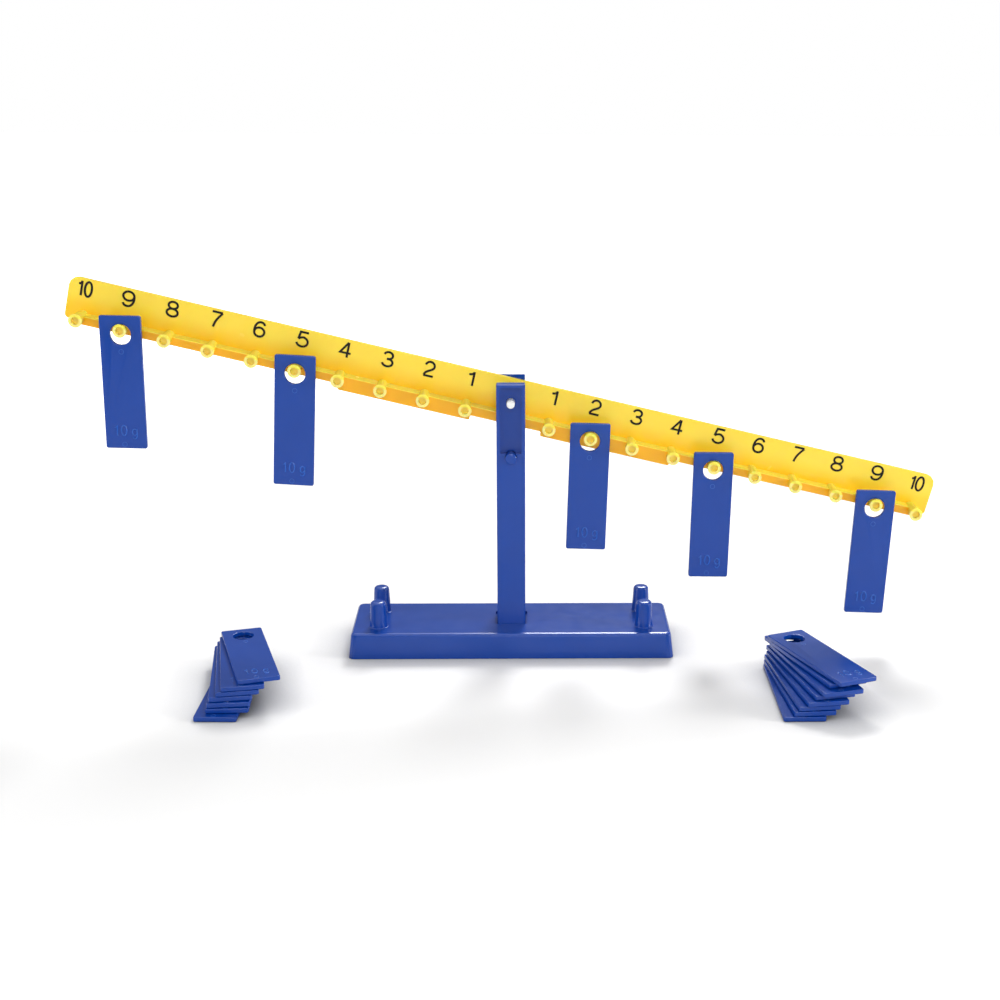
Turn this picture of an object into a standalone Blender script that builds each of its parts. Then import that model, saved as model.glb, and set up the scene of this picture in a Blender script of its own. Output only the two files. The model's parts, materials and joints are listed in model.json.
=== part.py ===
"""A math balance: a numbered beam that rocks on an upright, a base with storage posts, and twenty weights.

Metres. The origin is the middle of the base's underside, X runs along the base, Y away from the viewer, Z up.
The beam rests on its stop with the right end down. Five weights hang on its pegs and fifteen lie in two piles.
"""

import math

import bmesh
import bpy
from mathutils import Matrix

# Fits between pieces
GAP = 0.0003
CHEEK_CLEARANCE = 0.0005
CUT_OVERRUN = 0.002
JOIN_DEPTH = 0.001

# Beam, with heights measured from its pivot and drops from its peg axes
PEG_PITCH = 0.03175
PEGS_A_SIDE = 10
BEAM_END_MARGIN = 0.0129
BEAM_TILT = math.radians(13.3)
WEB_THICKNESS = 0.003
WEB_RISE = 0.0152
WEB_CORNER_RADIUS = 0.007
PEG_DROP = 0.0121
LEDGE_DEPTH = 0.0116
LEDGE_WALL = 0.002
LEDGE_RISE = 0.0023
LEDGE_PAST_PEG = 0.0015
END_SKIRT_DROP = 0.004
MIDDLE_SKIRT_DROP = 0.0049
DEEP_SKIRT_DROP = 0.0084
SKIRT_CORNER_RADIUS = 0.003
SKIRT_STEP_RADIUS = 0.001
DEEP_FROM_SHARE = 0.85
DEEP_TO_SHARE = 3.98
HUB_DIAMETER = 0.014

# Pegs
PEG_LENGTH = 0.0222
PEG_DIAMETER = 0.0084
PEG_MOUTH_DIAMETER = 0.010
PEG_FLARE_LENGTH = 0.002
PEG_LIP = 0.0006
PEG_BORE_DIAMETER = 0.0058
PEG_BORE_DEPTH = 0.004

# Upright
UPRIGHT_WIDTH = 0.0214
UPRIGHT_DEPTH = 0.0256
UPRIGHT_EDGE_RADIUS = 0.0008
PIVOT_HEIGHT = 0.1928
PIVOT_TO_FRONT_TOP = 0.0146
PIVOT_TO_REAR_TOP = 0.0171
REAR_CHEEK = 0.0031
RECESS_FLOOR = 0.0021
RECESS_RIM = 0.0029
RECESS_TOP_RIM = 0.0028
RECESS_BOTTOM_DROP = 0.038
RECESS_CORNER_RADIUS = 0.0008
PIN_POCKET_DIAMETER = 0.0164

# Pins
PIVOT_PIN_DIAMETER = 0.006
PIVOT_PIN_REACH = 0.003
PIVOT_PIN_HEAD_DIAMETER = 0.009
PIVOT_PIN_HEAD = 0.0014
PIN_EDGE_RADIUS = 0.0006
LOWER_PIN_DIAMETER = 0.0086
LOWER_PIN_DROP = 0.0411
LOWER_PIN_REACH = 0.0042
LOWER_PIN_LENGTH = 0.018
LOWER_PIN_EDGE_RADIUS = 0.0012

# Base
BASE_LENGTH = 0.2478
BASE_WIDTH = 0.0711
BASE_HEIGHT = 0.0198
BASE_END_DRAFT = 0.0024
BASE_SIDE_DRAFT = 0.0009
BASE_CORNER_RADIUS = 0.0045
BASE_TOP_RADIUS = 0.0025
BASE_WALL = 0.0025
RIB_THICKNESS = 0.0018
SLOT_SIDE_MARGIN = 0.0015
SLOT_REAR_MARGIN = 0.0022
SLOT_DEPTH = 0.0018
SLOT_CORNER_RADIUS = 0.002
POST_END_INSET = 0.0222
POST_SIDE_INSET = 0.0186
POST_TOP_DIAMETER = 0.0118
POST_FOOT_DIAMETER = 0.0136
POST_HEIGHT = 0.0203
POST_TOP_RADIUS = 0.0025
POST_FOOT_RADIUS = 0.0008
POST_WALL = 0.0022

# Weights
WEIGHT_LENGTH = 0.0982
WEIGHT_WIDTH = 0.0299
WEIGHT_THICKNESS = 0.0034
WEIGHT_CORNER_RADIUS = 0.0014
WEIGHT_EDGE = 0.0005
WEIGHT_HOLE_DIAMETER = 0.0152
WEIGHT_HOLE_INSET = 0.0137

# Hung weights: the peg each is on (left is negative), its place along the free part of the peg as a share,
# and how far its foot leans to the left, in degrees
HUNG_PEGS = {"left_9": -9, "left_5": -5, "right_2": 2, "right_5": 5, "right_9": 9}
HUNG_SHARES = {"left_9": 0.567, "left_5": 0.134, "right_2": 0, "right_5": 0.246, "right_9": 0.485}
HUNG_LEANS = {"left_9": 1.4, "left_5": 3.4, "right_2": 1.6, "right_5": 0.7, "right_9": 2.0}

# Piles: the place of the lowest weight's hole, each hole's slip from it as shares of a weight's width, and
# each weight's turn in degrees, anticlockwise seen from above
PILE_PLACES = {"left": (-0.2023, -0.064), "right": (0.2043, -0.0682)}
PILE_SLIP_SHARES = {
    "left": (
        (0, 0), (0.034, 0.205), (-0.037, 0.249), (-0.116, 0.311), (-0.037, 0.324), (0.041, 0.334), (0.106, 0.447),
    ),
    "right": (
        (0, 0), (0.037, 0.028), (0.055, 0.055), (0.105, 0.013), (0.129, 0.122), (0.191, -0.016), (0.107, 0.191),
        (0.159, -0.037),
    ),
}
PILE_TURNS = {
    "left": (-1.4, 3, 5, 7.6, 9.3, 10.4, 16.5),
    "right": (0, 4.2, 6, 9, 12, 14.3, 19.1, 22.4),
}

# Zero adjusters
ADJUSTER_LENGTH = 0.012
ADJUSTER_WALL = 0.0014
ADJUSTER_BACK_LEG = 0.0075
ADJUSTER_FRONT_LEG = 0.0024

# How finely round shapes are cut
ARC_STEPS = 3
PEG_SIDES = 16
BORE_SIDES = 12
PIN_SIDES = 24
HOLE_SIDES = 24
POST_SIDES = 24

# Places worked out from the sizes above
WEB_BACK = UPRIGHT_DEPTH / 2 - REAR_CHEEK - CHEEK_CLEARANCE
WEB_FRONT = WEB_BACK - WEB_THICKNESS
SKIRT_FRONT = WEB_FRONT - LEDGE_DEPTH
PEG_TIP = WEB_FRONT - PEG_LENGTH
FRONT_CHEEK_BACK = SKIRT_FRONT - CHEEK_CLEARANCE
UPRIGHT_FRONT = -UPRIGHT_DEPTH / 2
UPRIGHT_BACK = UPRIGHT_DEPTH / 2
FRONT_CHEEK_TOP = PIVOT_HEIGHT + PIVOT_TO_FRONT_TOP
REAR_CHEEK_TOP = PIVOT_HEIGHT + PIVOT_TO_REAR_TOP
UPRIGHT_FOOT = BASE_WALL + GAP
MIDDLE_SKIRT = PEG_DROP + MIDDLE_SKIRT_DROP
FORK_DEPTH = MIDDLE_SKIRT / math.cos(BEAM_TILT) + UPRIGHT_WIDTH / 2 * math.tan(BEAM_TILT) + GAP
LOWER_PIN_HEIGHT = PIVOT_HEIGHT - LOWER_PIN_DROP
PIN_HOLE_DIAMETER = PIVOT_PIN_DIAMETER + 2 * GAP
HOLE_BELOW_PEG = (WEIGHT_HOLE_DIAMETER - PEG_DIAMETER) / 2 - GAP
POST_X = BASE_LENGTH / 2 - POST_END_INSET
POST_Y = BASE_WIDTH / 2 - POST_SIDE_INSET
WELD_DISTANCE = JOIN_DEPTH / 1000

# Turns that lay a flat outline drawn in X and Y into another plane
FACING_FRONT = Matrix.Rotation(math.radians(90), 4, "X")
ALONG_BEAM = Matrix(((0, 0, 1, 0), (1, 0, 0, 0), (0, 1, 0, 0), (0, 0, 0, 1)))

parts = None
cutters = None
materials = {}


def clear_scene():
    for obj in list(bpy.data.objects):
        bpy.data.objects.remove(obj, do_unlink=True)


def make_collections():
    global parts, cutters
    parts = bpy.data.collections.new("math_balance")
    cutters = bpy.data.collections.new("cutters")
    bpy.context.scene.collection.children.link(parts)
    bpy.context.scene.collection.children.link(cutters)


def make_material(name, color, roughness):
    material = bpy.data.materials.new(name)
    material.use_nodes = True
    shader = material.node_tree.nodes["Principled BSDF"]
    shader.inputs["Base Color"].default_value = (*color, 1)
    shader.inputs["Roughness"].default_value = roughness
    shader.inputs["Metallic"].default_value = 0
    materials[name] = material


def mesh_from(bm, name):
    bmesh.ops.recalc_face_normals(bm, faces=bm.faces)
    mesh = bpy.data.meshes.new(name)
    bm.to_mesh(mesh)
    bm.free()
    return mesh


def part(name, mesh, material):
    """A piece of the object, shown in renders."""
    obj = bpy.data.objects.new(name, mesh)
    parts.objects.link(obj)
    mesh.materials.clear()
    mesh.materials.append(materials[material])
    mesh.shade_smooth()
    mesh.set_sharp_from_angle(angle=math.radians(35))
    return obj


def helper(name, mesh):
    """A shape that others are cut by or joined to."""
    obj = bpy.data.objects.new(name, mesh)
    cutters.objects.link(obj)
    obj.hide_render = True
    obj.display_type = "WIRE"
    return obj


def baked(obj, weld=WELD_DISTANCE):
    """The mesh that an object and its modifiers make. The object is removed."""
    bpy.context.view_layer.update()
    graph = bpy.context.evaluated_depsgraph_get()
    mesh = bpy.data.meshes.new_from_object(obj.evaluated_get(graph))
    mesh.transform(obj.matrix_world)
    bpy.data.objects.remove(obj, do_unlink=True)
    bm = bmesh.new()
    bm.from_mesh(mesh)
    bmesh.ops.remove_doubles(bm, verts=bm.verts, dist=weld)
    bmesh.ops.recalc_face_normals(bm, faces=bm.faces)
    bm.to_mesh(mesh)
    bm.free()
    return mesh


def combine(obj, other, operation):
    modifier = obj.modifiers.new(other.name, "BOOLEAN")
    modifier.operation = operation
    modifier.solver = "EXACT"
    modifier.object = other


def box(low, high, name="box"):
    """The mesh of a box between two corners."""
    bm = bmesh.new()
    bmesh.ops.create_cube(bm, size=1)
    for vert in bm.verts:
        vert.co = [far if share > 0 else near for near, far, share in zip(low, high, vert.co)]
    return mesh_from(bm, name)


def bar(diameter, start, end, sides, name="bar"):
    """The mesh of a round bar along Y, centred on the Y axis."""
    bm = bmesh.new()
    bmesh.ops.create_cone(
        bm, cap_ends=True, segments=sides, radius1=diameter / 2, radius2=diameter / 2, depth=end - start
    )
    bmesh.ops.rotate(bm, verts=bm.verts, matrix=FACING_FRONT.to_3x3())
    bmesh.ops.translate(bm, verts=bm.verts, vec=(0, (start + end) / 2, 0))
    return mesh_from(bm, name)


def turned(profile, sides, name="turned"):
    """The mesh of a solid turned about Z. The profile is (radius, height) points, from its top to its foot."""
    bm = bmesh.new()
    verts = [bm.verts.new((radius, 0, height)) for radius, height in profile]
    for first, second in zip(verts, verts[1:]):
        bm.edges.new((first, second))
    mesh = bpy.data.meshes.new(name)
    bm.to_mesh(mesh)
    bm.free()
    obj = helper(name, mesh)
    screw = obj.modifiers.new("turn", "SCREW")
    screw.steps = sides
    screw.render_steps = sides
    screw.use_merge_vertices = True
    screw.merge_threshold = WELD_DISTANCE
    return baked(obj)


def quarter(center, radius, start_degrees, end_degrees, steps=ARC_STEPS):
    """Points along an arc from one angle to another."""
    angles = [math.radians(start_degrees + (end_degrees - start_degrees) * i / steps) for i in range(steps + 1)]
    return [(center[0] + radius * math.cos(a), center[1] + radius * math.sin(a)) for a in angles]


def rounded(corners, steps=ARC_STEPS):
    """The points of a closed outline. Each corner is (x, y, radius), and a round one becomes an arc."""
    points = []
    for i, (x, y, radius) in enumerate(corners):
        if not radius:
            points.append((x, y))
            continue
        before = corners[i - 1]
        after = corners[(i + 1) % len(corners)]
        to_before = math.atan2(before[1] - y, before[0] - x)
        to_after = math.atan2(after[1] - y, after[0] - x)
        opening = math.remainder(to_after - to_before, math.tau)
        middle = to_before + opening / 2
        reach = radius / math.sin(abs(opening) / 2)
        center = (x + reach * math.cos(middle), y + reach * math.sin(middle))
        sweep = math.copysign(math.pi - abs(opening), -opening)
        first = middle + math.pi - sweep / 2
        for step in range(steps + 1):
            angle = first + sweep * step / steps
            points.append((center[0] + radius * math.cos(angle), center[1] + radius * math.sin(angle)))
    return points


def plate(outlines, thickness, turn, name="plate"):
    """The mesh of a flat plate from closed outlines, the first one outside and the others its holes."""
    curve = bpy.data.curves.new(name, "CURVE")
    curve.dimensions = "2D"
    curve.fill_mode = "BOTH"
    curve.extrude = thickness / 2
    for outline in outlines:
        spline = curve.splines.new("POLY")
        spline.points.add(len(outline) - 1)
        for point, (x, y) in zip(spline.points, outline):
            point.co = (x, y, 0, 1)
        spline.use_cyclic_u = True
    obj = bpy.data.objects.new(name, curve)
    cutters.objects.link(obj)
    mesh = baked(obj)
    mesh.transform(turn)
    return mesh


def copies(mesh, places, name="copies"):
    """One mesh that holds a copy of another at each place."""
    bm = bmesh.new()
    for place in places:
        moved = mesh.copy()
        moved.transform(place)
        bm.from_mesh(moved)
        bpy.data.meshes.remove(moved)
    return mesh_from(bm, name)


def soften(obj, width, segments=1):
    """Rounds the sharp edges of an object."""
    bevel = obj.modifiers.new("edges", "BEVEL")
    bevel.width = width
    bevel.segments = segments
    bevel.limit_method = "ANGLE"
    bevel.angle_limit = math.radians(50)


def drafted_block(length, width, height, corner_radius, top_radius, foot=0, name="block"):
    """The mesh of a block whose ends and sides lean in as the base's do, standing on the height foot."""
    bm = bmesh.new()
    bmesh.ops.create_cube(bm, size=1)
    for vert in bm.verts:
        top = vert.co.z > 0
        half_length = length / 2 - (BASE_END_DRAFT if top else 0)
        half_width = width / 2 - (BASE_SIDE_DRAFT if top else 0)
        vert.co.x = math.copysign(half_length, vert.co.x)
        vert.co.y = math.copysign(half_width, vert.co.y)
        vert.co.z = foot + (height if top else 0)
    upright_edges = [edge for edge in bm.edges if edge.verts[0].co.z != edge.verts[1].co.z]
    bmesh.ops.bevel(
        bm, geom=upright_edges, offset=corner_radius, segments=ARC_STEPS, profile=0.5, affect="EDGES"
    )
    if top_radius:
        middle = foot + height / 2
        top_edges = [edge for edge in bm.edges if all(vert.co.z > middle for vert in edge.verts)]
        bmesh.ops.bevel(
            bm, geom=top_edges, offset=top_radius, segments=ARC_STEPS, profile=0.5, affect="EDGES"
        )
    return mesh_from(bm, name)


def post_places():
    return [(side * POST_X, end * POST_Y) for side in (-1, 1) for end in (-1, 1)]


def make_base():
    """The base is a moulded shell, open below, with ribs, four hollow storage posts and the upright's socket."""
    block = drafted_block(
        BASE_LENGTH, BASE_WIDTH, BASE_HEIGHT, BASE_CORNER_RADIUS, BASE_TOP_RADIUS, name="base"
    )
    base = part("base", block, "blue_plastic")

    inside = drafted_block(
        BASE_LENGTH - 2 * BASE_WALL,
        BASE_WIDTH - 2 * BASE_WALL,
        BASE_HEIGHT - BASE_WALL + CUT_OVERRUN,
        BASE_CORNER_RADIUS - BASE_WALL,
        0,
        foot=-CUT_OVERRUN,
        name="base_inside",
    )
    inside = helper("base_inside", inside)
    low = -2 * CUT_OVERRUN
    high = BASE_HEIGHT
    half_rib = RIB_THICKNESS / 2
    stiffeners = {
        "long_rib": box((-POST_X, -half_rib, low), (POST_X, half_rib, high)),
        "socket_block": box(
            (-UPRIGHT_WIDTH / 2 - GAP - BASE_WALL, UPRIGHT_FRONT - GAP - BASE_WALL, low),
            (UPRIGHT_WIDTH / 2 + GAP + BASE_WALL, UPRIGHT_BACK + GAP + BASE_WALL, high),
        ),
    }
    for side, x in (("left", -POST_X), ("right", POST_X)):
        stiffeners[side + "_cross_rib"] = box(
            (x - half_rib, -BASE_WIDTH / 2, low), (x + half_rib, BASE_WIDTH / 2, high)
        )
    foot_radius = POST_FOOT_DIAMETER / 2
    boss = turned(((0, high), (foot_radius, high), (foot_radius, low), (0, low)), POST_SIDES)
    places = [Matrix.Translation((x, y, 0)) for x, y in post_places()]
    stiffeners["post_bosses"] = copies(boss, places)
    for name, mesh in stiffeners.items():
        combine(inside, helper(name, mesh), "DIFFERENCE")
    combine(base, inside, "DIFFERENCE")

    top_radius = POST_TOP_DIAMETER / 2
    flare_radius = foot_radius + POST_FOOT_RADIUS
    top = BASE_HEIGHT + POST_HEIGHT
    foot = BASE_HEIGHT - JOIN_DEPTH
    profile = [(0, top)]
    profile += quarter((top_radius - POST_TOP_RADIUS, top - POST_TOP_RADIUS), POST_TOP_RADIUS, 90, 0)
    profile += quarter((flare_radius, BASE_HEIGHT + POST_FOOT_RADIUS), POST_FOOT_RADIUS, 180, 270)
    profile += [(flare_radius, foot), (0, foot)]
    combine(base, helper("posts", copies(turned(profile, POST_SIDES), places)), "UNION")

    core = top_radius - POST_WALL
    core_top = top - POST_WALL
    core_profile = ((0, core_top), (core, core_top), (core, -CUT_OVERRUN), (0, -CUT_OVERRUN))
    combine(base, helper("post_cores", copies(turned(core_profile, BORE_SIDES), places)), "DIFFERENCE")

    half_slot = UPRIGHT_WIDTH / 2 + SLOT_SIDE_MARGIN
    slot_front = UPRIGHT_FRONT - GAP
    slot_back = UPRIGHT_BACK + SLOT_REAR_MARGIN
    outline = rounded(
        (
            (-half_slot, slot_front, SLOT_CORNER_RADIUS),
            (half_slot, slot_front, SLOT_CORNER_RADIUS),
            (half_slot, slot_back, SLOT_CORNER_RADIUS),
            (-half_slot, slot_back, SLOT_CORNER_RADIUS),
        )
    )
    slot = plate([outline], SLOT_DEPTH + CUT_OVERRUN, Matrix.Identity(4), "slot")
    slot.transform(Matrix.Translation((0, 0, BASE_HEIGHT + (CUT_OVERRUN - SLOT_DEPTH) / 2)))
    combine(base, helper("slot", slot), "DIFFERENCE")
    socket = box(
        (-UPRIGHT_WIDTH / 2 - GAP, UPRIGHT_FRONT - GAP, BASE_WALL),
        (UPRIGHT_WIDTH / 2 + GAP, UPRIGHT_BACK + GAP, BASE_HEIGHT + 2 * CUT_OVERRUN),
    )
    combine(base, helper("socket", socket), "DIFFERENCE")


def recess_outline():
    """The front recess, seen from the front, with the round pocket of the pivot pin bulging from its sides."""
    half = UPRIGHT_WIDTH / 2 - RECESS_RIM
    top = PIVOT_TO_FRONT_TOP - RECESS_TOP_RIM
    radius = PIN_POCKET_DIAMETER / 2
    corner = RECESS_CORNER_RADIUS
    points = quarter((half - corner, top - corner), corner, 90, 0)
    if radius > half:
        bulge = math.degrees(math.acos(half / radius))
        points += quarter((0, 0), radius, bulge, -bulge, 2 * ARC_STEPS)
    points += [(half, -RECESS_BOTTOM_DROP)]
    return points + [(-x, y) for x, y in reversed(points)]


def make_upright():
    """The upright is one moulding: a post that stands in the base, and a fork that holds the beam's pivot."""
    half = UPRIGHT_WIDTH / 2
    side_view = (
        (UPRIGHT_FRONT, UPRIGHT_FOOT),
        (UPRIGHT_BACK, UPRIGHT_FOOT),
        (UPRIGHT_BACK, REAR_CHEEK_TOP),
        (0, REAR_CHEEK_TOP),
        (0, FRONT_CHEEK_TOP),
        (UPRIGHT_FRONT, FRONT_CHEEK_TOP),
    )
    upright = part("upright", plate([side_view], UPRIGHT_WIDTH, ALONG_BEAM, "upright"), "blue_plastic")
    soften(upright, UPRIGHT_EDGE_RADIUS, segments=2)

    fork_low = (-half - CUT_OVERRUN, FRONT_CHEEK_BACK, PIVOT_HEIGHT - FORK_DEPTH)
    fork_high = (half + CUT_OVERRUN, UPRIGHT_BACK - REAR_CHEEK, REAR_CHEEK_TOP + CUT_OVERRUN)
    combine(upright, helper("fork_gap", box(fork_low, fork_high)), "DIFFERENCE")

    recess_back = FRONT_CHEEK_BACK - RECESS_FLOOR
    recess_front = UPRIGHT_FRONT - CUT_OVERRUN
    recess = plate([recess_outline()], recess_back - recess_front, FACING_FRONT, "recess")
    recess.transform(Matrix.Translation((0, (recess_back + recess_front) / 2, PIVOT_HEIGHT)))
    combine(upright, helper("recess", recess), "DIFFERENCE")

    pin_hole = bar(PIN_HOLE_DIAMETER, UPRIGHT_FRONT, UPRIGHT_BACK + CUT_OVERRUN, PIN_SIDES)
    pin_hole.transform(Matrix.Translation((0, 0, PIVOT_HEIGHT)))
    combine(upright, helper("pivot_pin_hole", pin_hole), "DIFFERENCE")

    hole_end = UPRIGHT_FRONT - LOWER_PIN_REACH + LOWER_PIN_LENGTH + GAP
    hole = bar(LOWER_PIN_DIAMETER + 2 * GAP, UPRIGHT_FRONT - CUT_OVERRUN, hole_end, PIN_SIDES)
    hole.transform(Matrix.Translation((0, 0, LOWER_PIN_HEIGHT)))
    combine(upright, helper("lower_pin_hole", hole), "DIFFERENCE")


def make_pins():
    """The white pin that the beam rocks on, headed behind the fork, and the blue pin below the recess."""
    radius = PIVOT_PIN_DIAMETER / 2
    head_radius = PIVOT_PIN_HEAD_DIAMETER / 2
    reach = UPRIGHT_DEPTH + PIVOT_PIN_REACH + GAP
    profile = [(0, reach)]
    profile += quarter((radius - PIN_EDGE_RADIUS, reach - PIN_EDGE_RADIUS), PIN_EDGE_RADIUS, 90, 0)
    profile += [(radius, 0), (head_radius, 0)]
    profile += quarter((head_radius - PIN_EDGE_RADIUS, PIN_EDGE_RADIUS - PIVOT_PIN_HEAD), PIN_EDGE_RADIUS, 0, -90)
    profile += [(0, -PIVOT_PIN_HEAD)]
    mesh = turned(profile, PIN_SIDES, "pivot_pin")
    mesh.transform(FACING_FRONT)
    pivot_pin = part("pivot_pin", mesh, "white_plastic")
    pivot_pin.location = (0, UPRIGHT_BACK + GAP, PIVOT_HEIGHT)

    radius = LOWER_PIN_DIAMETER / 2
    edge = LOWER_PIN_EDGE_RADIUS
    profile = [(0, LOWER_PIN_LENGTH)]
    profile += quarter((radius - edge, LOWER_PIN_LENGTH - edge), edge, 90, 0)
    profile += [(radius, 0), (0, 0)]
    mesh = turned(profile, PIN_SIDES, "lower_pin")
    mesh.transform(FACING_FRONT)
    lower_pin = part("lower_pin", mesh, "blue_plastic")
    lower_pin.location = (0, UPRIGHT_FRONT - LOWER_PIN_REACH + LOWER_PIN_LENGTH, LOWER_PIN_HEIGHT)


def peg_numbers():
    return [side * number for side in (-1, 1) for number in range(1, PEGS_A_SIDE + 1)]


def beam_silhouette():
    """The beam seen from the front: a straight top, and a lower edge in steps that hides the zero adjusters."""
    half = PEGS_A_SIDE * PEG_PITCH + BEAM_END_MARGIN
    deep_from = DEEP_FROM_SHARE * PEG_PITCH
    deep_to = DEEP_TO_SHARE * PEG_PITCH
    end = -PEG_DROP - END_SKIRT_DROP
    deep = -PEG_DROP - DEEP_SKIRT_DROP
    step = SKIRT_STEP_RADIUS
    right = (
        (half, WEB_RISE, WEB_CORNER_RADIUS),
        (half, end, SKIRT_CORNER_RADIUS),
        (deep_to, end, step),
        (deep_to, deep, step),
        (deep_from, deep, step),
        (deep_from, -MIDDLE_SKIRT, step),
    )
    left = tuple((-x, z, radius) for x, z, radius in reversed(right))
    return rounded(right + left)


def beam_section():
    """The beam cut across: a web, a ledge that stands out from it, and a skirt along the ledge's front."""
    top = WEB_RISE + CUT_OVERRUN
    ledge_top = LEDGE_RISE - PEG_DROP
    ledge_foot = ledge_top - LEDGE_WALL
    foot = -PEG_DROP - DEEP_SKIRT_DROP - CUT_OVERRUN
    skirt_back = SKIRT_FRONT + LEDGE_WALL
    return (
        (WEB_BACK, top),
        (WEB_FRONT, top),
        (WEB_FRONT, ledge_top),
        (SKIRT_FRONT, ledge_top),
        (SKIRT_FRONT, foot),
        (skirt_back, foot),
        (skirt_back, ledge_foot),
        (WEB_FRONT, ledge_foot),
        (WEB_FRONT, foot),
        (WEB_BACK, foot),
    )


def make_beam(carrier):
    """The beam is one moulding with twenty hollow pegs and the hub that turns on the pivot pin."""
    length = 2 * (PEGS_A_SIDE * PEG_PITCH + BEAM_END_MARGIN + CUT_OVERRUN)
    bar_mesh = plate([beam_section()], length, ALONG_BEAM, "beam")
    beam = part("beam", bar_mesh, "yellow_plastic")
    beam.parent = carrier

    depth = WEB_BACK - SKIRT_FRONT + 2 * CUT_OVERRUN
    front = plate([beam_silhouette()], depth, FACING_FRONT, "beam_front")
    front.transform(Matrix.Translation((0, (WEB_BACK + SKIRT_FRONT) / 2, 0)))
    front = helper("beam_front", front)
    combine(beam, front, "INTERSECT")

    ledge_end = PEGS_A_SIDE * PEG_PITCH + LEDGE_PAST_PEG
    top = WEB_RISE + 2 * CUT_OVERRUN
    foot = -PEG_DROP - DEEP_SKIRT_DROP - 2 * CUT_OVERRUN
    past_ledge = box((ledge_end, SKIRT_FRONT - CUT_OVERRUN, foot), (length, WEB_FRONT, top))
    both_ends = [Matrix.Identity(4), Matrix.Diagonal((-1, 1, 1, 1))]
    ledge_ends = helper("ledge_ends", copies(past_ledge, both_ends))
    combine(beam, ledge_ends, "DIFFERENCE")

    body = PEG_DIAMETER / 2
    mouth = PEG_MOUTH_DIAMETER / 2
    length = PEG_LENGTH + JOIN_DEPTH
    profile = (
        (0, length),
        (mouth - PEG_LIP / 2, length),
        (mouth, length - PEG_LIP),
        (body, length - PEG_FLARE_LENGTH),
        (body, 0),
        (0, 0),
    )
    peg = turned(profile, PEG_SIDES)
    peg.transform(FACING_FRONT)
    places = [Matrix.Translation((number * PEG_PITCH, 0, -PEG_DROP)) for number in peg_numbers()]
    root = Matrix.Translation((0, WEB_FRONT + JOIN_DEPTH, 0))
    pegs = helper("pegs", copies(peg, [place @ root for place in places]))
    combine(beam, pegs, "UNION")

    hub = bar(HUB_DIAMETER, SKIRT_FRONT, WEB_BACK - JOIN_DEPTH, PIN_SIDES)
    hub = helper("hub", hub)
    combine(beam, hub, "UNION")

    bore = bar(PEG_BORE_DIAMETER, PEG_TIP - CUT_OVERRUN, PEG_TIP + PEG_BORE_DEPTH, BORE_SIDES)
    bores = helper("peg_bores", copies(bore, places))
    combine(beam, bores, "DIFFERENCE")

    pin_bore = bar(PIN_HOLE_DIAMETER, SKIRT_FRONT - CUT_OVERRUN, WEB_BACK + CUT_OVERRUN, PIN_SIDES)
    pin_bore = helper("hub_bore", pin_bore)
    combine(beam, pin_bore, "DIFFERENCE")
    for shape in (front, ledge_ends, pegs, hub, bores, pin_bore):
        shape.parent = carrier


def make_adjusters(carrier):
    """Two small clips that slide on the web's lower edge, behind the deep parts of the skirt."""
    edge = -PEG_DROP - DEEP_SKIRT_DROP
    inside_front = WEB_FRONT - GAP
    inside_back = WEB_BACK + GAP
    outside_front = inside_front - ADJUSTER_WALL
    outside_back = inside_back + ADJUSTER_WALL
    inside_foot = edge - GAP
    outside_foot = inside_foot - ADJUSTER_WALL
    front_top = edge + ADJUSTER_FRONT_LEG
    back_top = edge + ADJUSTER_BACK_LEG
    section = rounded(
        (
            (outside_front, front_top, 0),
            (outside_front, outside_foot, ADJUSTER_WALL / 2),
            (outside_back, outside_foot, ADJUSTER_WALL / 2),
            (outside_back, back_top, 0),
            (inside_back, back_top, 0),
            (inside_back, inside_foot, 0),
            (inside_front, inside_foot, 0),
            (inside_front, front_top, 0),
        ),
        steps=2,
    )
    middle = (DEEP_FROM_SHARE + DEEP_TO_SHARE) / 2 * PEG_PITCH
    for side, x in (("left", -middle), ("right", middle)):
        mesh = plate([section], ADJUSTER_LENGTH, ALONG_BEAM, "zero_adjuster_" + side)
        clip = part("zero_adjuster_" + side, mesh, "yellow_plastic")
        clip.location = (x, 0, 0)
        clip.parent = carrier


def weight_mesh():
    """A weight, upright and facing front, with its origin on its hole's axis at the middle of its thickness."""
    half = WEIGHT_WIDTH / 2
    top = WEIGHT_HOLE_INSET
    foot = WEIGHT_HOLE_INSET - WEIGHT_LENGTH
    corner = WEIGHT_CORNER_RADIUS
    outline = rounded(
        ((-half, foot, corner), (half, foot, corner), (half, top, corner), (-half, top, corner)), steps=2
    )
    hole = quarter((0, 0), WEIGHT_HOLE_DIAMETER / 2, 360, 360 / HOLE_SIDES, HOLE_SIDES - 1)
    blank = helper("weight_blank", plate([outline, hole], WEIGHT_THICKNESS, FACING_FRONT))
    soften(blank, WEIGHT_EDGE)
    return baked(blank)


def make_hung_weights(carrier, mesh):
    """Each hung weight has its origin on its peg's axis, where it swings."""
    free_length = SKIRT_FRONT - PEG_TIP - WEIGHT_THICKNESS - GAP
    hanging = mesh.copy()
    hanging.transform(Matrix.Translation((0, 0, -HOLE_BELOW_PEG)))
    for place, number in HUNG_PEGS.items():
        weight = part("weight_" + place, hanging, "blue_plastic")
        back = SKIRT_FRONT - GAP - HUNG_SHARES[place] * free_length
        weight.location = (number * PEG_PITCH, back - WEIGHT_THICKNESS / 2, -PEG_DROP)
        weight.rotation_euler = (0, math.radians(HUNG_LEANS[place]) - BEAM_TILT, 0)
        weight.parent = carrier


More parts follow.
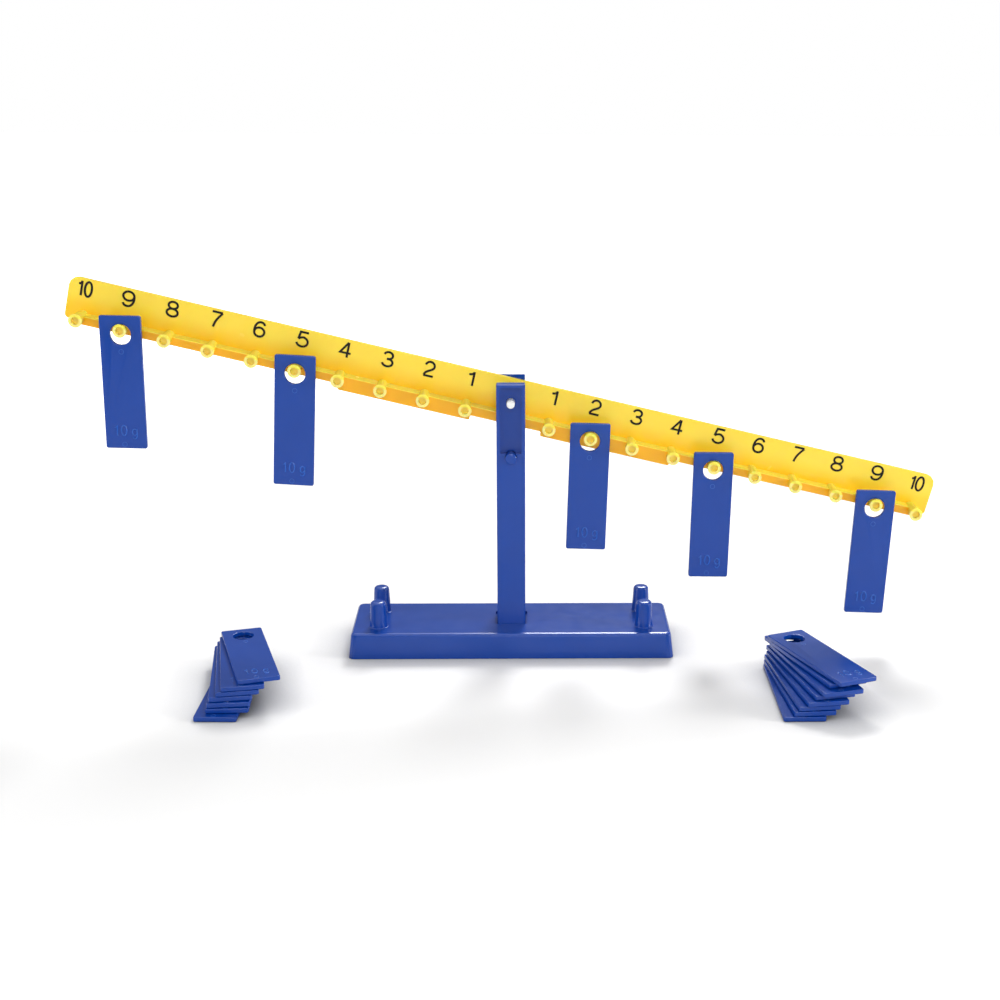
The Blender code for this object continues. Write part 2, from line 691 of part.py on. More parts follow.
def make_piles(mesh):
    """The spare weights lie flat in two fanned piles, with their holes away from the viewer."""
    lying = mesh.copy()
    lying.transform(Matrix.Rotation(math.radians(-90), 4, "X"))
    for side, (x, y) in PILE_PLACES.items():
        carrier = bpy.data.objects.new("pile_" + side, None)
        parts.objects.link(carrier)
        carrier.location = (x, y, 0)
        rows = zip(PILE_SLIP_SHARES[side], PILE_TURNS[side])
        for level, ((slip_x_share, slip_y_share), turn) in enumerate(rows):
            weight = part(f"stack_{side}_{level + 1}", lying, "blue_plastic")
            height = level * (WEIGHT_THICKNESS + GAP) + WEIGHT_THICKNESS / 2
            weight.location = (slip_x_share * WEIGHT_WIDTH, slip_y_share * WEIGHT_WIDTH, height)
            weight.rotation_euler = (0, 0, math.radians(turn))
            weight.parent = carrier


def main():
    clear_scene()
    make_collections()
    make_material("blue_plastic", (0.031, 0.076, 0.352), 0.35)
    make_material("yellow_plastic", (1.0, 0.62, 0.06), 0.35)
    make_material("white_plastic", (0.85, 0.85, 0.82), 0.4)
    make_base()
    make_upright()
    make_pins()
    beam_pivot = bpy.data.objects.new("beam_pivot", None)
    parts.objects.link(beam_pivot)
    beam_pivot.location = (0, 0, PIVOT_HEIGHT)
    beam_pivot.rotation_euler = (0, BEAM_TILT, 0)
    make_beam(beam_pivot)
    make_adjusters(beam_pivot)
    weight = weight_mesh()
    make_hung_weights(beam_pivot, weight)
    make_piles(weight)


main()
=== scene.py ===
"""The looks of the math balance: its plastics, printed numbers, moulded marks, light and camera. Metres."""

import json
import math

import bmesh
import bpy
import numpy as np
from mathutils import Matrix, Vector


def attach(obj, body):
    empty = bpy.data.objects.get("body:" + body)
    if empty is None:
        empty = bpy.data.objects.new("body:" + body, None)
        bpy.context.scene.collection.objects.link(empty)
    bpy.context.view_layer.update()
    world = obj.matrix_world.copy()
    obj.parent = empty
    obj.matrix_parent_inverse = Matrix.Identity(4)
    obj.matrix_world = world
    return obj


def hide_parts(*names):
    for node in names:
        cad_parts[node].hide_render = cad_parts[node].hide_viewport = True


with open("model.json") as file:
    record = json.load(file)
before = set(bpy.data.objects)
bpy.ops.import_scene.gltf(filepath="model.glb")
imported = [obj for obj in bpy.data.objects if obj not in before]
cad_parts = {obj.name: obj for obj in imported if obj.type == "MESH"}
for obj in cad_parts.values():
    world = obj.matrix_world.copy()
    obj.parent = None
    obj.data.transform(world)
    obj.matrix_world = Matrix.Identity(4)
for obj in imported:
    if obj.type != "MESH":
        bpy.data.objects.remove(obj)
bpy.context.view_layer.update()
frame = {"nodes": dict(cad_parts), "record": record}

# Camera, fitted to points measured in the photograph
IMAGE_PIXELS = 1000
SENSOR_WIDTH_MM = 36
FOCAL_PIXELS = 1568.4
CAMERA_PLACE = (0.005637, -1.142485, 0.456119)
CAMERA_PITCH = math.radians(18.796)
CAMERA_YAW = math.radians(1.595)
CAMERA_ROLL = math.radians(0.395)
VIEW_CENTRE_PIXELS = (560, 560)
NEAREST_SEEN = 0.05

# Beam
BEAM_TILT = math.radians(13.3)
PEG_PITCH = 0.03175
PEGS_A_SIDE = 10
NUMBER_RISE = 0.0077
NUMBER_HEIGHT = 0.0124
NUMBER_STROKE = 0.00165
# Each printed number, below zero on the left: how far it stands right of its peg, and its width
NUMBER_FITS = {
    -9: (-0.0012, 0.0104), -8: (-0.0008, 0.0102), -7: (-0.0004, 0.0097), -6: (-0.0004, 0.0097),
    -5: (0.0, 0.0103), -4: (0.0004, 0.0097), -3: (0.0004, 0.0097), -2: (0.0, 0.0090), -1: (0.0014, 0.0106),
    1: (0.0014, 0.0106), 2: (0.0, 0.0090), 3: (0.0004, 0.0097), 4: (0.0004, 0.0097), 5: (0.0008, 0.0103),
    6: (0.0004, 0.0097), 7: (-0.0004, 0.0097), 8: (-0.0004, 0.0102), 9: (-0.0004, 0.0104),
}
# The 0 of each 10: how far right of its peg, its width, and how far both characters drop
TEN_FITS = {-1: (0.0013, 0.0066, 0.0), 1: (0.0024, 0.0072, 0.0008)}
TEN_STEM_TO_ZERO = 0.0049
TEN_ONE_WIDTH = 0.0071
INK_THICKNESS = 0.00006
LAYER_STEP = 0.000008
LEDGE_TOP = -0.0098
SKIRT_FRONT = -0.0054
SKIRT_DEPTH = 0.0025
SKIRT_EDGE_BLEND = 0.0006
WEB_PALE_ABOVE = 0.006
WEB_EDGE_BLEND = 0.0004
PEG_PALE_LENGTH = 0.007
TOP_EDGE_REACH = 0.0005

# Weights
MARK_HEIGHT = 0.0088
MARK_ONE_WIDTH = 0.0054
MARK_ZERO_WIDTH = 0.0050
MARK_G_WIDTH = 0.0052
MARK_STROKE = 0.0012
MARK_RISE = 0.0005
PILED_MARK_RISE = 0.00024
MARK_SINK = 0.0002
MARK_SLOPE = 0.0005
MARK_FOOT_ABOVE_EDGE = 0.0092
MARK_ONE_RIGHT = -0.0061
MARK_ZERO_RIGHT = -0.0012
MARK_G_RIGHT = 0.0065
RING_RADIUS = 0.0017
RING_STROKE = 0.0005
RING_RISE = 0.00012
RING_SLOPE = 0.000125
RING_STEPS = 20
UPPER_RING_BELOW_TOP = 0.0262
LOWER_RING_ABOVE_EDGE = 0.0031
LOWER_RING_RIGHT = -0.0012

# Colours, linear
BLUE = (0.0015, 0.050, 0.335)
# Paler blue of the weights' raised lettering and rings: painted highlight along their edges
LETTERING_HIGHLIGHT_BLUE = (0.022, 0.115, 0.50)
YELLOW = (1.0, 0.745, 0.065)
# Painted highlight: paler yellow towards the pegs' tips
PEG_TIP_HIGHLIGHT_YELLOW = (1.0, 0.84, 0.25)
# Painted light: paler yellow on the ledge's top
LEDGE_TOP_LIGHT_YELLOW = (1.0, 0.84, 0.09)
# Painted shade: deeper yellow low on the web, above the ledge
LOW_WEB_SHADE_YELLOW = (1.0, 0.62, 0.020)
# Painted shade: deepest yellow on the skirt
SKIRT_SHADE_YELLOW = (0.96, 0.47, 0.008)
WHITE = (0.93, 0.93, 0.91)
INK = (0.004, 0.0035, 0.003)

# Plastic surface. A noise is its scale, detail, roughness and, where it has one, distortion
FLOW_NOISE = (38.0, 4.0, 0.55, 0.6)
FLOW_SPAN = (0.3, 0.72)
GLOSS_NOISE = (110.0, 1.0, 0.4)
GLOSS_SPREAD = (-0.03, 0.05)
SINK_NOISE = (75.0, 2.0, 0.4)
SINK_DEPTH = 0.00012
GRAIN_NOISE = (700.0, 2.0, 0.5)
GRAIN_DEPTH = 0.000008
BUMP_STRENGTH = 0.5
PLASTIC_IOR = 1.5
SUBSURFACE_RADIUS = (1.0, 0.5, 0.1)
SUBSURFACE_SCALE = 0.003
BLUE_ROUGHNESS = 0.22
BLUE_MOTTLE = 0.03
YELLOW_ROUGHNESS = 0.24
YELLOW_MOTTLE = 0.015
YELLOW_SUBSURFACE = 0.35
SKIRT_MOTTLE = 0.03
WHITE_ROUGHNESS = 0.4
WHITE_MOTTLE = 0.02
INK_NOISE = (900.0, 4.0, 0.7)
INK_SPAN = (0.35, 0.8)
INK_WEAR = 3
INK_ROUGHNESS = (0.5, 0.7)
INK_SPECULAR = 0.25

# Rounded edges of the weights
EDGE_ROUNDING = 0.0006
EDGE_SEGMENTS = 2
SHARP_ANGLE = math.radians(35)
FLAT_ANGLE = math.radians(1)
MERGE_DISTANCE = 0.000002

# Light. A lamp is its place, size and power in watts. Gloss is what glossy rays alone see of the sky
LIGHT_TARGET = (0, 0, 0.1)
HORIZON_STRENGTH = 0.25
ZENITH_STRENGTH = 0.35
HORIZON_GLOSS = 0.26
ZENITH_GLOSS = 1.8
GLOSS_SPAN = (0.45, 0.75)
LIGHTS = {
    "key": ((0.3, 1.4, 1.5), 0.7, 29),
    "fill": ((0.1, -1.7, 1.0), 1.0, 12),
    "right": ((1.5, -0.35, 0.45), 0.5, 12),
    "left": ((-1.5, -0.45, 0.45), 0.5, 7),
}

# Floor. The lift brings it to white for the camera, from near the object to far away
FLOOR_SIZE = 12
FLOOR_COLOR = 0.86
FLOOR_ROUGHNESS = 0.9
FLOOR_SPECULAR = 0.1
NEAR_LIFT = 0.15
FAR_LIFT = 0.95
LIFT_START = 0.45
LIFT_END = 1.3
FLOOR_DROP = 0.0002
# Reach and samples of the painted contact shade on the floor
CONTACT_REACH = 0.036
CONTACT_SAMPLES = 8

# Pen paths
LONGEST_MITRE = 2
CLOSED_SHARE = 0.01


def link(tree, source, target):
    tree.links.new(source, target)


def node(tree, kind, **values):
    """A shader node with some of its properties and inputs set."""
    made = tree.nodes.new(kind)
    for name, value in values.items():
        if hasattr(made, name):
            setattr(made, name, value)
        else:
            made.inputs[name.replace("_", " ").title()].default_value = value
    return made


def noise(tree, place, scale, detail, roughness, distortion=0.0):
    texture = node(
        tree, "ShaderNodeTexNoise", Scale=scale, Detail=detail, Roughness=roughness, Distortion=distortion
    )
    link(tree, place, texture.inputs["Vector"])
    return texture.outputs["Fac"]


def ramp(tree, value, span, colors):
    """A colour between two, as a value goes across a span."""
    tint = node(tree, "ShaderNodeValToRGB")
    for element, position, color in zip(tint.color_ramp.elements, span, colors):
        element.position = position
        element.color = (*color, 1)
    link(tree, value, tint.inputs["Fac"])
    return tint.outputs["Color"]


def mapped(tree, value, span, result, smooth=False):
    """A value brought from one span to another."""
    spread = node(tree, "ShaderNodeMapRange")
    if smooth:
        spread.interpolation_type = "SMOOTHSTEP"
    for name, number in zip(("From Min", "From Max", "To Min", "To Max"), (*span, *result)):
        spread.inputs[name].default_value = number
    link(tree, value, spread.inputs["Value"])
    return spread.outputs["Result"]


def product(tree, first, second):
    times = node(tree, "ShaderNodeMath", operation="MULTIPLY")
    link(tree, first, times.inputs[0])
    link(tree, second, times.inputs[1])
    return times.outputs["Value"]


def shades(color, mottle):
    return [[min(1, channel * (1 + change)) for channel in color] for change in (-mottle, mottle)]


def flowing(tree, place, color, mottle):
    """A colour with the faint mottle that flowing plastic leaves."""
    return ramp(tree, noise(tree, place, *FLOW_NOISE), FLOW_SPAN, shades(color, mottle))


def moulded_plastic(name, color, roughness, mottle, subsurface=0):
    """Injection moulded plastic: a faint flow mottle, slow sink ripples, fine grain and uneven gloss."""
    material = bpy.data.materials.new(name)
    material.use_nodes = True
    tree = material.node_tree
    shader = tree.nodes["Principled BSDF"]
    place = node(tree, "ShaderNodeTexCoord").outputs["Object"]

    link(tree, flowing(tree, place, color, mottle), shader.inputs["Base Color"])

    smoothest, roughest = GLOSS_SPREAD
    spread = (roughness + smoothest, roughness + roughest)
    gloss = mapped(tree, noise(tree, place, *GLOSS_NOISE), (0, 1), spread)
    link(tree, gloss, shader.inputs["Roughness"])

    sink = node(tree, "ShaderNodeBump", Strength=BUMP_STRENGTH, Distance=SINK_DEPTH)
    link(tree, noise(tree, place, *SINK_NOISE), sink.inputs["Height"])
    skin = node(tree, "ShaderNodeBump", Strength=BUMP_STRENGTH, Distance=GRAIN_DEPTH)
    link(tree, noise(tree, place, *GRAIN_NOISE), skin.inputs["Height"])
    link(tree, sink.outputs["Normal"], skin.inputs["Normal"])
    link(tree, skin.outputs["Normal"], shader.inputs["Normal"])

    shader.inputs["IOR"].default_value = PLASTIC_IOR
    if subsurface:
        shader.inputs["Subsurface Weight"].default_value = subsurface
        shader.inputs["Subsurface Radius"].default_value = SUBSURFACE_RADIUS
        shader.inputs["Subsurface Scale"].default_value = SUBSURFACE_SCALE
    return material


def mixed(tree, mask, first, second):
    mix = node(tree, "ShaderNodeMix", data_type="RGBA")
    for socket, source in ((0, mask), (6, first), (7, second)):
        link(tree, source, mix.inputs[socket])
    return mix.outputs[2]


def shade_beam(material):
    """Paints light and shade into the yellow by its place on the beam: painted shade deepens it low on the
    web, and deepest on the skirt.

    Painted highlight makes the pegs paler towards their tips, and painted light makes the ledge's top paler."""
    tree = material.node_tree
    shader = tree.nodes["Principled BSDF"]
    color = shader.inputs["Base Color"].links[0].from_socket
    place = node(tree, "ShaderNodeTexCoord").outputs["Object"]
    turned = node(tree, "ShaderNodeMapping", vector_type="TEXTURE")
    turned.inputs["Location"].default_value = beam_joint()["pos_m"]
    turned.inputs["Rotation"].default_value = (0, BEAM_TILT, 0)
    link(tree, place, turned.inputs["Vector"])
    parts = node(tree, "ShaderNodeSeparateXYZ")
    link(tree, turned.outputs["Vector"], parts.inputs["Vector"])

    def within(axis, start, end, rising):
        return mapped(tree, parts.outputs[axis], (start, end), (0, 1) if rising else (1, 0), True)

    web = web_front()
    tip = float(beam_points()[:, 1].min())
    skirt_back = SKIRT_FRONT + SKIRT_DEPTH
    half = SKIRT_EDGE_BLEND / 2
    low = within("Z", LEDGE_TOP, WEB_PALE_ABOVE, False)
    on_web = within("Y", web - WEB_EDGE_BLEND, web, True)
    tip_highlight = within("Y", tip, tip + PEG_PALE_LENGTH, False)
    off_web = within("Y", web - WEB_EDGE_BLEND, web, False)
    over_ledge = within("Z", LEDGE_TOP - SKIRT_EDGE_BLEND, LEDGE_TOP, True)
    behind_front = within("Y", SKIRT_FRONT - SKIRT_EDGE_BLEND, SKIRT_FRONT - half, True)
    before_back = within("Y", skirt_back, skirt_back + SKIRT_EDGE_BLEND, False)
    under_ledge = within("Z", LEDGE_TOP - SKIRT_EDGE_BLEND - half, LEDGE_TOP - half, False)
    on_skirt = product(tree, product(tree, behind_front, before_back), under_ledge)
    # Painted light and shade: deeper low on the web and on the skirt, paler towards the pegs' tips and on
    # the ledge's top
    tints = (
        (product(tree, low, on_web), LOW_WEB_SHADE_YELLOW, YELLOW_MOTTLE),
        (tip_highlight, PEG_TIP_HIGHLIGHT_YELLOW, YELLOW_MOTTLE),
        (product(tree, off_web, over_ledge), LEDGE_TOP_LIGHT_YELLOW, YELLOW_MOTTLE),
        (on_skirt, SKIRT_SHADE_YELLOW, SKIRT_MOTTLE),
    )
    for mask, tint, mottle in tints:
        color = mixed(tree, mask, color, flowing(tree, place, tint, mottle))
    link(tree, color, shader.inputs["Base Color"])


def printed_ink():
    """Black screen-printed ink, a little worn and uneven."""
    material = bpy.data.materials.new("printed_ink")
    material.use_nodes = True
    tree = material.node_tree
    shader = tree.nodes["Principled BSDF"]
    place = node(tree, "ShaderNodeTexCoord").outputs["Object"]
    speckle = noise(tree, place, *INK_NOISE)
    worn = [channel * INK_WEAR for channel in INK]
    link(tree, ramp(tree, speckle, INK_SPAN, (INK, worn)), shader.inputs["Base Color"])
    link(tree, mapped(tree, speckle, (0, 1), INK_ROUGHNESS), shader.inputs["Roughness"])
    shader.inputs["Specular IOR Level"].default_value = INK_SPECULAR
    return material


def arc(center, radii, start_degrees, end_degrees, steps=14):
    """Points along part of an ellipse."""
    turn = end_degrees - start_degrees
    angles = [math.radians(start_degrees + turn * i / steps) for i in range(steps + 1)]
    return [(center[0] + radii[0] * math.cos(a), center[1] + radii[1] * math.sin(a)) for a in angles]


def sweep(first, handle_a, handle_b, last, steps=10):
    """Points along a cubic curve."""
    corners = (first, handle_a, handle_b, last)
    points = []
    for i in range(steps + 1):
        t = i / steps
        parts = ((1 - t) ** 3, 3 * t * (1 - t) ** 2, 3 * t * t * (1 - t), t ** 3)
        points.append(tuple(sum(p * q[k] for p, q in zip(parts, corners)) for k in (0, 1)))
    return points


def glyph_strokes():
    """Each character's pen strokes, in shares of its width (-0.5 to 0.5) and of its height (0 to 1)."""
    six_bowl = arc((0.02, 0.31), (0.46, 0.31), 90, 450, 28)
    six_back = sweep((0.42, 0.80), (0.38, 0.94), (0.24, 1.0), (0.06, 1.0))
    six_back += sweep((0.06, 1.0), (-0.28, 1.0), (-0.50, 0.72), (-0.45, 0.30))[1:]
    nine = [[(-x, 1 - y) for x, y in stroke] for stroke in (six_bowl, six_back)]
    return {
        "0": [arc((0, 0.5), (0.5, 0.5), 90, 450, 32)],
        "1": [[(0, 0), (0, 1)], sweep((-0.01, 0.98), (-0.06, 0.84), (-0.18, 0.79), (-0.42, 0.79), 6)],
        "2": [
            arc((0, 0.70), (0.45, 0.30), 172, -12, 16)
            + sweep((0.43, 0.62), (0.34, 0.40), (-0.40, 0.36), (-0.48, 0.02))[1:],
            [(-0.52, 0), (0.48, 0)],
        ],
        "3": [
            arc((-0.02, 0.755), (0.40, 0.245), 168, -90, 18) + [(-0.12, 0.51)],
            [(-0.12, 0.51)] + arc((-0.02, 0.265), (0.48, 0.265), 90, -168, 20),
        ],
        "4": [[(0.18, 1.0), (-0.48, 0.26), (0.50, 0.26)], [(0.20, 1.0), (0.20, -0.05)]],
        "5": [
            [(0.42, 1.0), (-0.26, 1.0), (-0.38, 0.50)],
            sweep((-0.38, 0.50), (-0.20, 0.62), (0.0, 0.66), (0.12, 0.64), 6)
            + arc((-0.02, 0.32), (0.48, 0.32), 72, -166, 20),
        ],
        "6": [six_bowl, six_back],
        "7": [[(-0.46, 1.0), (0.48, 1.0)], sweep((0.48, 0.98), (0.10, 0.62), (-0.14, 0.35), (-0.20, -0.05))],
        "8": [arc((0, 0.76), (0.39, 0.24), 90, 450, 26), arc((0, 0.26), (0.47, 0.26), 90, 450, 28)],
        "9": nine,
        "g": [
            arc((0, 0.36), (0.42, 0.30), 90, 450, 24),
            [(0.42, 0.66), (0.42, 0.0)] + arc((0.0, 0.0), (0.42, 0.28), 0, -150, 12)[1:],
        ],
    }


GLYPHS = glyph_strokes()


def ridge(bm, path, width, low, high, slope=0.0):
    """A strip along a path in the XY plane, between two heights, with its top narrower by the slope."""
    closed = len(path) > 2 and math.dist(path[0], path[-1]) < width * CLOSED_SHARE
    points = [Vector(point) for point in (path[:-1] if closed else path)]
    count = len(points)
    rings = []
    for i, point in enumerate(points):
        before = points[i - 1] if i or closed else point
        after = points[(i + 1) % count] if i < count - 1 or closed else point
        step_in = (point - before).normalized() if (point - before).length else (after - point).normalized()
        step_out = (after - point).normalized() if (after - point).length else step_in
        along = (step_in + step_out).normalized()
        across = Vector((-along.y, along.x))
        stretch = 1 / max(1 / LONGEST_MITRE, across.dot(Vector((-step_in.y, step_in.x))))
        foot = across * width / 2 * stretch
        top = across * (width / 2 - slope) * stretch
        rings.append(
            [
                bm.verts.new((*(point + foot), low)),
                bm.verts.new((*(point + top), high)),
                bm.verts.new((*(point - top), high)),
                bm.verts.new((*(point - foot), low)),
            ]
        )
    for i in range(count if closed else count - 1):
        here, there = rings[i], rings[(i + 1) % count]
        for k in range(4):
            bm.faces.new((here[k], here[(k + 1) % 4], there[(k + 1) % 4], there[k]))
    if not closed:
        bm.faces.new(rings[0][::-1])
        bm.faces.new(rings[-1])


def write(bm, letters, foot, height, stroke, low, high, slope=0.0):
    """Adds characters as ridges standing on a line. Each letter comes with its own centre and width."""
    for letter, centre, width in letters:
        for step, path in enumerate(GLYPHS[letter]):
            placed = [
                (centre + x * (width - stroke), foot + stroke / 2 + y * (height - stroke)) for x, y in path
            ]
            ridge(bm, placed, stroke, low, high + step * LAYER_STEP, slope)


def finished(bm, name, material, place):
    bmesh.ops.recalc_face_normals(bm, faces=bm.faces)
    mesh = bpy.data.meshes.new(name)
    bm.to_mesh(mesh)
    bm.free()
    mesh.transform(place)
    mesh.materials.append(material)
    obj = bpy.data.objects.new(name, mesh)
    bpy.context.scene.collection.objects.link(obj)
    return obj


def beam_joint():
    return next(joint for joint in frame["record"]["behaviour"]["joints"] if joint["child"] == "beam")


def beam_frame():
    """The beam's own axes in the world: X along it to the right, Y away from the viewer, Z up across it."""
    return Matrix.Translation(beam_joint()["pos_m"]) @ Matrix.Rotation(BEAM_TILT, 4, "Y")


def points_of(name):
    obj = frame["nodes"][name]
    return np.array([obj.matrix_world @ vert.co for vert in obj.data.vertices])


def beam_points():
    """The beam's corner points on its own axes."""
    inward = beam_frame().inverted()
    return np.array([inward @ Vector(point) for point in points_of("beam")])


def web_front():
    """The Y of the web's numbered face: the front of the beam's highest points."""
    local = beam_points()
    top = local[local[:, 2] > local[:, 2].max() - TOP_EDGE_REACH]
    return float(top[:, 1].min())


def numbers(material):
    """The printed numbers. Each faces front, so its drawing plane is turned up by a quarter turn."""
    upright = Matrix.Rotation(math.radians(90), 4, "X")
    bm = bmesh.new()
    for side in (-1, 1):
        for number in range(1, PEGS_A_SIDE + 1):
            peg = side * number * PEG_PITCH
            foot = NUMBER_RISE - NUMBER_HEIGHT / 2
            if number == PEGS_A_SIDE:
                right, width, drop = TEN_FITS[side]
                zero = peg + right
                foot -= drop
                letters = [("1", zero - TEN_STEM_TO_ZERO, TEN_ONE_WIDTH), ("0", zero, width)]
            else:
                right, width = NUMBER_FITS[side * number]
                letters = [(str(number), peg + right, width)]
            write(bm, letters, foot, NUMBER_HEIGHT, NUMBER_STROKE, -INK_THICKNESS, INK_THICKNESS)
    place = beam_frame() @ Matrix.Translation((0, web_front(), 0)) @ upright
    piece = finished(bm, "beam_numbers", material, place)
    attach(piece, "beam")


def plate_frame(name, facing):
    """A weight's own axes at the middle of its marked face, and its length.

    X runs across it, Y towards its hole end and Z out of the face."""
    points = points_of(name)
    spread = np.linalg.eigh(np.cov(points.T))
    along = spread.eigenvectors[:, 2]
    out = spread.eigenvectors[:, 0]
    out = out if out @ np.array(facing) > 0 else -out
    reach = points @ along
    if reach.mean() < (reach.min() + reach.max()) / 2:
        along = -along
        reach = -reach
    across = np.cross(along, out)
    middle = [((points @ axis).min() + (points @ axis).max()) / 2 for axis in (across, along)]
    face = (points @ out).max()
    origin = across * middle[0] + along * middle[1] + out * face
    matrix = Matrix.Identity(4)
    for column, axis in enumerate((across, along, out, origin)):
        for row in range(3):
            matrix[row][column] = axis[row]
    return matrix, float(reach.max() - reach.min())


def weight_marks(name, facing, rise, material):
    """The raised lettering of a weight, and the two round marks that its mould leaves."""
    place, length = plate_frame(name, facing)
    bm = bmesh.new()
    edge = -length / 2
    foot = edge + MARK_FOOT_ABOVE_EDGE
    letters = [
        ("1", MARK_ONE_RIGHT, MARK_ONE_WIDTH), ("0", MARK_ZERO_RIGHT, MARK_ZERO_WIDTH),
        ("g", MARK_G_RIGHT, MARK_G_WIDTH),
    ]
    write(bm, letters, foot, MARK_HEIGHT, MARK_STROKE, -MARK_SINK, rise, MARK_SLOPE)
    rings = ((0, length / 2 - UPPER_RING_BELOW_TOP), (LOWER_RING_RIGHT, edge + LOWER_RING_ABOVE_EDGE))
    for centre in rings:
        ring = arc(centre, (RING_RADIUS, RING_RADIUS), 0, 360, RING_STEPS)
        ridge(bm, ring, RING_STROKE, -MARK_SINK, RING_RISE, RING_SLOPE)
    piece = finished(bm, name + "_marks", material, place)
    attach(piece, name)


def paint(name, material):
    obj = frame["nodes"][name]
    obj.data.materials.clear()
    obj.data.materials.append(material)


def body_of(name):
    bodies = frame["record"]["behaviour"]["bodies"]
    return next(body for body, names in bodies.items() if name in names)


def soften(name, material):
    """Shows a node with the small roundings that a mould leaves on its sharp edges."""
    paint(name, material)
    bm = bmesh.new()
    bm.from_mesh(frame["nodes"][name].data)
    bmesh.ops.remove_doubles(bm, verts=bm.verts, dist=MERGE_DISTANCE)
    bmesh.ops.dissolve_limit(bm, angle_limit=FLAT_ANGLE, verts=bm.verts, edges=bm.edges)
    for face in bm.faces:
        face.smooth = True
    piece = finished(bm, name + "_softened", material, frame["nodes"][name].matrix_world)
    piece.data.set_sharp_from_angle(angle=SHARP_ANGLE)
    rounding = piece.modifiers.new("edges", "BEVEL")
    rounding.width = EDGE_ROUNDING
    rounding.segments = EDGE_SEGMENTS
    rounding.limit_method = "ANGLE"
    rounding.angle_limit = SHARP_ANGLE
    rounding.harden_normals = True
    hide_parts(name)
    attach(piece, body_of(name))


def make_camera():
    forward = Vector(
        (
            math.sin(CAMERA_YAW) * math.cos(CAMERA_PITCH),
            math.cos(CAMERA_YAW) * math.cos(CAMERA_PITCH),
            -math.sin(CAMERA_PITCH),
        )
    )
    level = Vector((math.cos(CAMERA_YAW), -math.sin(CAMERA_YAW), 0))
    above = level.cross(forward)
    right = level * math.cos(CAMERA_ROLL) + above * math.sin(CAMERA_ROLL)
    up = above * math.cos(CAMERA_ROLL) - level * math.sin(CAMERA_ROLL)
    data = bpy.data.cameras.new("camera")
    data.sensor_width = SENSOR_WIDTH_MM
    data.lens = FOCAL_PIXELS / IMAGE_PIXELS * SENSOR_WIDTH_MM
    data.shift_x = 0.5 - VIEW_CENTRE_PIXELS[0] / IMAGE_PIXELS
    data.shift_y = VIEW_CENTRE_PIXELS[1] / IMAGE_PIXELS - 0.5
    data.clip_start = NEAREST_SEEN
    camera = bpy.data.objects.new("camera", data)
    bpy.context.scene.collection.objects.link(camera)
    camera.matrix_world = Matrix(
        (
            (right.x, up.x, -forward.x, CAMERA_PLACE[0]),
            (right.y, up.y, -forward.y, CAMERA_PLACE[1]),
            (right.z, up.z, -forward.z, CAMERA_PLACE[2]),
            (0, 0, 0, 1),
        )
    )
    bpy.context.scene.camera = camera


def area_light(name, place, size, power):
    data = bpy.data.lights.new(name, "AREA")
    data.shape = "DISK"
    data.size = size
    data.energy = power
    lamp = bpy.data.objects.new(name, data)
    bpy.context.scene.collection.objects.link(lamp)
    lamp.location = place
    lamp.rotation_euler = (Vector(LIGHT_TARGET) - Vector(place)).to_track_quat("-Z", "Y").to_euler()


def make_sky():
    """A soft sky that the camera sees as plain white, and gloss as a broad bright panel overhead."""
    world = bpy.data.worlds.new("sky")
    world.use_nodes = True
    tree = world.node_tree
    direction = node(tree, "ShaderNodeTexCoord").outputs["Generated"]
    parts = node(tree, "ShaderNodeSeparateXYZ")
    link(tree, direction, parts.inputs["Vector"])
    height = parts.outputs["Z"]
    light = tree.nodes["Background"]
    link(tree, mapped(tree, height, (0, 1), (HORIZON_STRENGTH, ZENITH_STRENGTH)), light.inputs["Strength"])
    gloss = node(tree, "ShaderNodeBackground")
    panel = mapped(tree, height, GLOSS_SPAN, (HORIZON_GLOSS, ZENITH_GLOSS), True)
    link(tree, panel, gloss.inputs["Strength"])
    seen = node(tree, "ShaderNodeBackground", Strength=1.0)
    ray = node(tree, "ShaderNodeLightPath")
    shown = light
    for background in (light, gloss, seen):
        background.inputs["Color"].default_value = (1, 1, 1, 1)
    for kind, background in (("Is Glossy Ray", gloss), ("Is Camera Ray", seen)):
        mix = node(tree, "ShaderNodeMixShader")
        link(tree, ray.outputs[kind], mix.inputs[0])
        link(tree, shown.outputs[0], mix.inputs[1])
        link(tree, background.outputs[0], mix.inputs[2])
        shown = mix
    link(tree, shown.outputs[0], tree.nodes["World Output"].inputs[0])
    bpy.context.scene.world = world


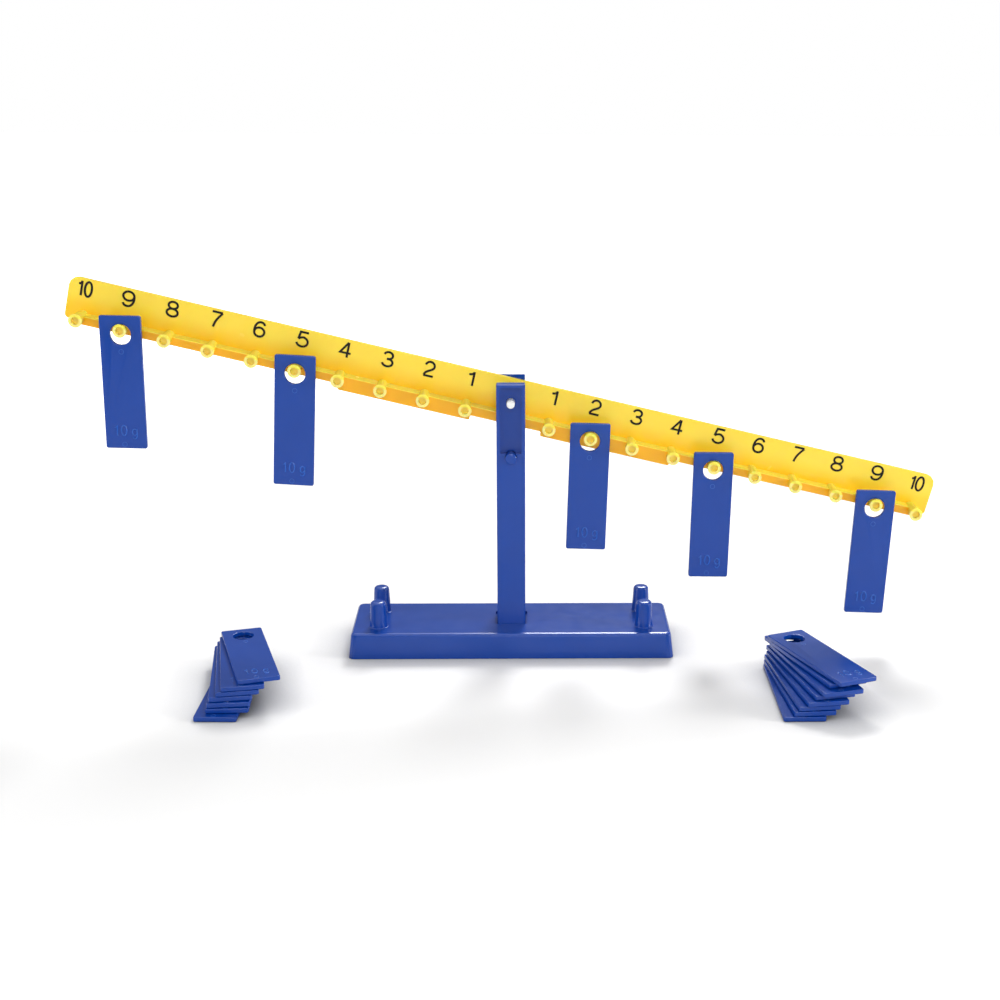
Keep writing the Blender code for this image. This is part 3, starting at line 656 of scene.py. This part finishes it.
def make_floor():
    """A white floor. The camera sees it lifted to white where no shadow falls, and more so farther away.
    Ambient occlusion paints shade into its colour and its lift near the object.
    """
    bm = bmesh.new()
    bmesh.ops.create_grid(bm, x_segments=1, y_segments=1, size=FLOOR_SIZE / 2)
    material = bpy.data.materials.new("floor")
    material.use_nodes = True
    tree = material.node_tree
    shader = tree.nodes["Principled BSDF"]
    shader.inputs["Roughness"].default_value = FLOOR_ROUGHNESS
    shader.inputs["Specular IOR Level"].default_value = FLOOR_SPECULAR
    place = node(tree, "ShaderNodeTexCoord").outputs["Object"]
    reach = node(tree, "ShaderNodeVectorMath", operation="LENGTH")
    link(tree, place, reach.inputs[0])
    lift = mapped(tree, reach.outputs["Value"], (LIFT_START, LIFT_END), (NEAR_LIFT, FAR_LIFT), True)
    ray = node(tree, "ShaderNodeLightPath")
    # Painted shade: ambient occlusion darkens the floor's colour and its lift near the object
    painted_contact_shade = node(tree, "ShaderNodeAmbientOcclusion", samples=CONTACT_SAMPLES, Distance=CONTACT_REACH)
    openness = painted_contact_shade.outputs["AO"]
    shade = node(tree, "ShaderNodeCombineColor")
    for channel in ("Red", "Green", "Blue"):
        link(tree, mapped(tree, openness, (0, 1), (0, FLOOR_COLOR)), shade.inputs[channel])
    link(tree, shade.outputs["Color"], shader.inputs["Base Color"])
    glow = node(tree, "ShaderNodeEmission")
    seen = product(tree, lift, ray.outputs["Is Camera Ray"])
    link(tree, product(tree, seen, openness), glow.inputs["Strength"])
    total = node(tree, "ShaderNodeAddShader")
    link(tree, shader.outputs[0], total.inputs[0])
    link(tree, glow.outputs[0], total.inputs[1])
    link(tree, total.outputs[0], tree.nodes["Material Output"].inputs["Surface"])
    floor = finished(bm, "floor", material, Matrix.Translation((0, 0, -FLOOR_DROP)))


def lies_under_another(name):
    """Whether the next weight of a pile lies on this one."""
    stem, level = name.rsplit("_", 1)
    return f"{stem}_{int(level) + 1}" in frame["nodes"]


def main():
    bpy.context.scene.view_settings.view_transform = "Standard"
    blue = moulded_plastic("blue_moulding", BLUE, BLUE_ROUGHNESS, BLUE_MOTTLE)
    # Painted highlight: the weights' raised lettering and rings get a paler blue
    lettering_highlight = moulded_plastic("blue_lettering_painted_highlight", LETTERING_HIGHLIGHT_BLUE, BLUE_ROUGHNESS, BLUE_MOTTLE)
    yellow = moulded_plastic("yellow_moulding", YELLOW, YELLOW_ROUGHNESS, YELLOW_MOTTLE, YELLOW_SUBSURFACE)
    shade_beam(yellow)
    white = moulded_plastic("white_moulding", WHITE, WHITE_ROUGHNESS, WHITE_MOTTLE)
    ink = printed_ink()
    for name in frame["nodes"]:
        if name == "beam" or name.startswith("zero_adjuster"):
            paint(name, yellow)
        elif name == "pivot_pin":
            paint(name, white)
        elif name.startswith(("weight_", "stack_")):
            soften(name, blue)
        else:
            paint(name, blue)
    numbers(ink)
    for name in frame["nodes"]:
        if name.startswith("weight_"):
            weight_marks(name, (0, -1, 0), MARK_RISE, lettering_highlight)
        elif name.startswith("stack_"):
            rise = PILED_MARK_RISE if lies_under_another(name) else MARK_RISE
            weight_marks(name, (0, 0, 1), rise, lettering_highlight)
    make_camera()
    make_sky()
    make_floor()
    for name, (place, size, power) in LIGHTS.items():
        area_light(name, place, size, power)


main()
